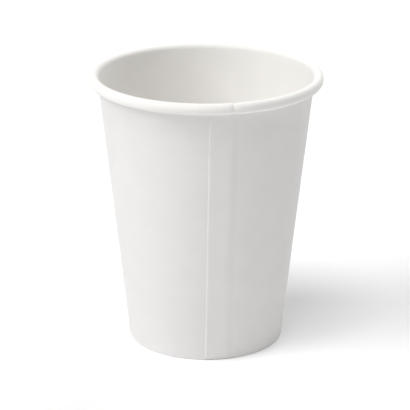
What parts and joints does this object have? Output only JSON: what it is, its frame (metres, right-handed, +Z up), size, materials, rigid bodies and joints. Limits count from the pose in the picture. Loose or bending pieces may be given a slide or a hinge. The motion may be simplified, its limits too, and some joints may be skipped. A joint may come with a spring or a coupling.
{
  "type": "paper coffee cup",
  "caption": "Plain white single-wall paper coffee cup: a tapered board wall with a lapped side seam, a rolled rim and a recessed bottom disc.",
  "frame": {"origin": "centre of the foot circle, on the surface that the cup stands on", "axes": "+Z up along the cup's axis, -Y towards the middle of the side seam's lap, +X to the right seen from the seam"},
  "size_m": [0.09, 0.09, 0.107],
  "materials": {
    "cup_board": "uncoated matt white board outside, thin clear film inside",
    "disc_board": "matt white board below, thin clear film above"
  },
  "bodies": {
    "root": {"side_wall": "cup_board", "bottom_disc": "disc_board"}
  },
  "joints": []
}
